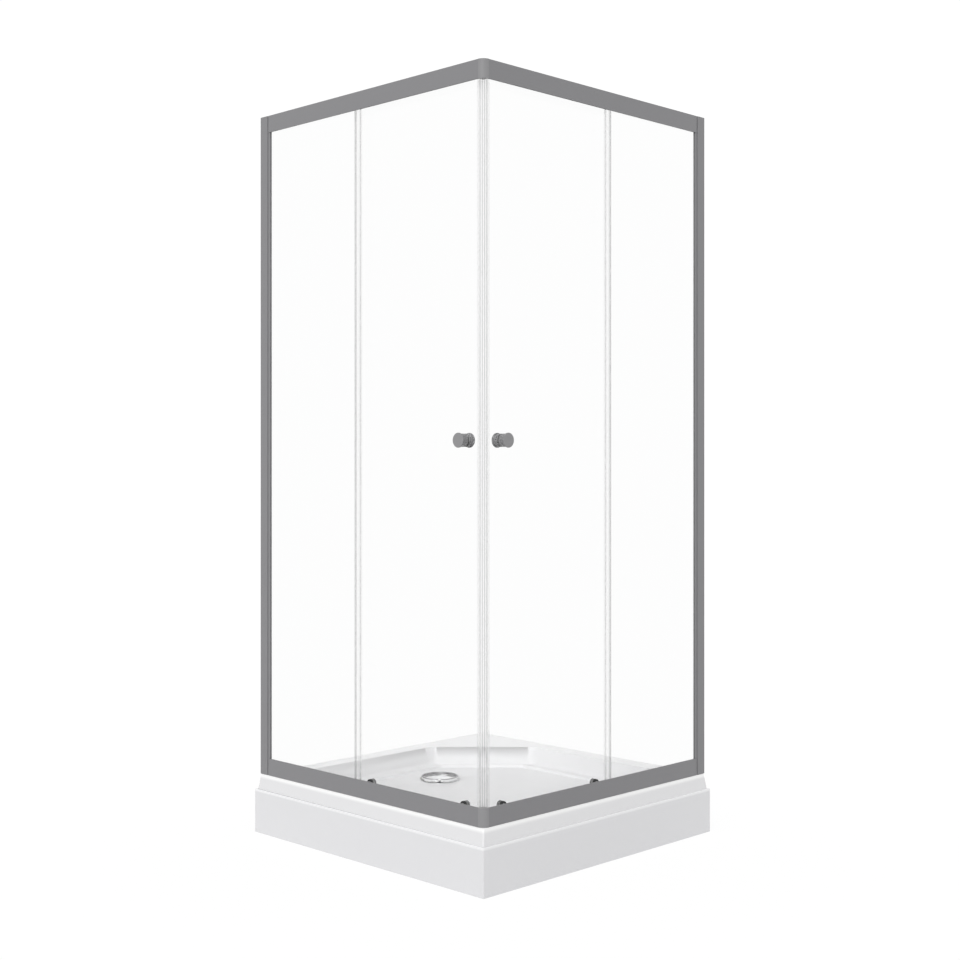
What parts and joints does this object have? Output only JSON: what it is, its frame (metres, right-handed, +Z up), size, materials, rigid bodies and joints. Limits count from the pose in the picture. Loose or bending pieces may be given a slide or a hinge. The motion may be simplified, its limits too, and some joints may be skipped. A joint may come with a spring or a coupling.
{
  "type": "shower enclosure",
  "caption": "Square corner shower enclosure: framed sliding glass doors that meet at the corner, on a moulded tray with an apron, support frame and waste.",
  "frame": {"origin": "centre of the tray's footprint, on the floor", "axes": "+Z up; the room's walls are at -X and +Y, the glazed front faces -Y and the glazed side faces +X"},
  "size_m": [0.9, 0.9, 2.0003],
  "materials": {
    "tray_acrylic": "gloss white acrylic",
    "apron_acrylic": "gloss white acrylic",
    "board": "bare particle board",
    "galvanised_steel": "galvanised",
    "zinc_steel": "zinc plated",
    "foot_plastic": "black moulded",
    "drain_chrome": "polished",
    "cover_chrome": "polished",
    "rubber": "black",
    "waste_plastic": "white moulded",
    "cap_plastic": "grey moulded",
    "corner_grey": "satin grey",
    "frame_grey": "satin grey",
    "gasket_rubber": "dark grey",
    "glass": "clear polished",
    "clear_seal": "clear",
    "magnet_seal": "milky",
    "magnet": "pale",
    "knob_grey": "satin grey",
    "bush_plastic": "translucent",
    "roller_steel": "turned",
    "roller_grey": "grey moulded",
    "wheel_nylon": "dark moulded"
  },
  "bodies": {
    "root": {"apron_clips": "galvanised_steel", "apron_panel": "apron_acrylic", "bottom_corner_connector": "corner_grey", "channel_end_caps": "cap_plastic", "floor_board": "board", "frame_screws": "zinc_steel", "front_fixed_glass": "glass", "front_fixed_seal": "clear_seal", "front_post": "frame_grey", "front_sill": "frame_grey", "front_top_rail": "frame_grey", "front_wall_channel": "frame_grey", "glazing_gaskets": "gasket_rubber", "leg_feet": "foot_plastic", "leg_nuts": "zinc_steel", "leg_studs": "zinc_steel", "outlet_pipe": "waste_plastic", "side_fixed_glass": "glass", "side_fixed_seal": "clear_seal", "side_post": "frame_grey", "side_sill": "frame_grey", "side_top_rail": "frame_grey", "side_wall_channel": "frame_grey", "support_frame": "galvanised_steel", "top_corner_connector": "corner_grey", "track_stops": "rubber", "trap_insert": "waste_plastic", "tray_shell": "tray_acrylic", "waste_body": "waste_plastic", "waste_flange": "drain_chrome", "waste_gasket": "rubber"},
    "front_door": {"front_door_glass": "glass", "front_magnetic_seal": "magnet_seal", "front_magnet_strip": "magnet", "front_trailing_seal": "clear_seal", "front_outer_knob": "knob_grey", "front_inner_knob": "knob_grey", "front_knob_spindle": "zinc_steel", "front_glass_bushes": "bush_plastic", "front_roller_axles": "roller_steel", "front_roller_caps": "roller_grey"},
    "front_upper_trailing_wheel": {"front_upper_trailing_wheel": "wheel_nylon"},
    "front_upper_leading_wheel": {"front_upper_leading_wheel": "wheel_nylon"},
    "front_lower_trailing_wheel": {"front_lower_trailing_wheel": "wheel_nylon"},
    "front_lower_leading_wheel": {"front_lower_leading_wheel": "wheel_nylon"},
    "side_door": {"side_door_glass": "glass", "side_magnetic_seal": "magnet_seal", "side_magnet_strip": "magnet", "side_trailing_seal": "clear_seal", "side_outer_knob": "knob_grey", "side_inner_knob": "knob_grey", "side_knob_spindle": "zinc_steel", "side_glass_bushes": "bush_plastic", "side_roller_axles": "roller_steel", "side_roller_caps": "roller_grey"},
    "side_upper_trailing_wheel": {"side_upper_trailing_wheel": "wheel_nylon"},
    "side_upper_leading_wheel": {"side_upper_leading_wheel": "wheel_nylon"},
    "side_lower_trailing_wheel": {"side_lower_trailing_wheel": "wheel_nylon"},
    "side_lower_leading_wheel": {"side_lower_leading_wheel": "wheel_nylon"},
    "drain_cover": {"drain_cover": "cover_chrome"}
  },
  "joints": [
    {"name": "front_door_slide", "type": "slide", "parent": "root", "child": "front_door", "axis": [-1, 0, 0], "range_m": [0, 0.32]},
    {"name": "side_door_slide", "type": "slide", "parent": "root", "child": "side_door", "axis": [0, 1, 0], "range_m": [0, 0.32]},
    {"name": "drain_cover_lift", "type": "slide", "parent": "root", "child": "drain_cover", "axis": [0, 0, 1], "range_m": [0, 0.05]},
    {"name": "front_upper_trailing_spin", "type": "hinge", "parent": "front_door", "child": "front_upper_trailing_wheel", "pos_m": [-0.005, -0.4096, 1.9833], "axis": [0, -1, 0], "continuous": true},
    {"name": "front_upper_leading_spin", "type": "hinge", "parent": "front_door", "child": "front_upper_leading_wheel", "pos_m": [0.3422, -0.4096, 1.9833], "axis": [0, -1, 0], "continuous": true},
    {"name": "front_lower_trailing_spin", "type": "hinge", "parent": "front_door", "child": "front_lower_trailing_wheel", "pos_m": [-0.005, -0.4096, 0.1983], "axis": [0, -1, 0], "continuous": true},
    {"name": "front_lower_leading_spin", "type": "hinge", "parent": "front_door", "child": "front_lower_leading_wheel", "pos_m": [0.3422, -0.4096, 0.1983], "axis": [0, -1, 0], "continuous": true},
    {"name": "side_upper_trailing_spin", "type": "hinge", "parent": "side_door", "child": "side_upper_trailing_wheel", "pos_m": [0.4096, 0.005, 1.9833], "axis": [-1, 0, 0], "continuous": true},
    {"name": "side_upper_leading_spin", "type": "hinge", "parent": "side_door", "child": "side_upper_leading_wheel", "pos_m": [0.4096, -0.3422, 1.9833], "axis": [-1, 0, 0], "continuous": true},
    {"name": "side_lower_trailing_spin", "type": "hinge", "parent": "side_door", "child": "side_lower_trailing_wheel", "pos_m": [0.4096, 0.005, 0.1983], "axis": [-1, 0, 0], "continuous": true},
    {"name": "side_lower_leading_spin", "type": "hinge", "parent": "side_door", "child": "side_lower_leading_wheel", "pos_m": [0.4096, -0.3422, 0.1983], "axis": [-1, 0, 0], "continuous": true}
  ],
  "couplings": [
    {"joint": "front_upper_trailing_spin", "follows": "front_door_slide", "rad_per_m": 125},
    {"joint": "front_upper_leading_spin", "follows": "front_door_slide", "rad_per_m": 125},
    {"joint": "front_lower_trailing_spin", "follows": "front_door_slide", "rad_per_m": 125},
    {"joint": "front_lower_leading_spin", "follows": "front_door_slide", "rad_per_m": 125},
    {"joint": "side_upper_trailing_spin", "follows": "side_door_slide", "rad_per_m": 125},
    {"joint": "side_upper_leading_spin", "follows": "side_door_slide", "rad_per_m": 125},
    {"joint": "side_lower_trailing_spin", "follows": "side_door_slide", "rad_per_m": 125},
    {"joint": "side_lower_leading_spin", "follows": "side_door_slide", "rad_per_m": 125}
  ]
}
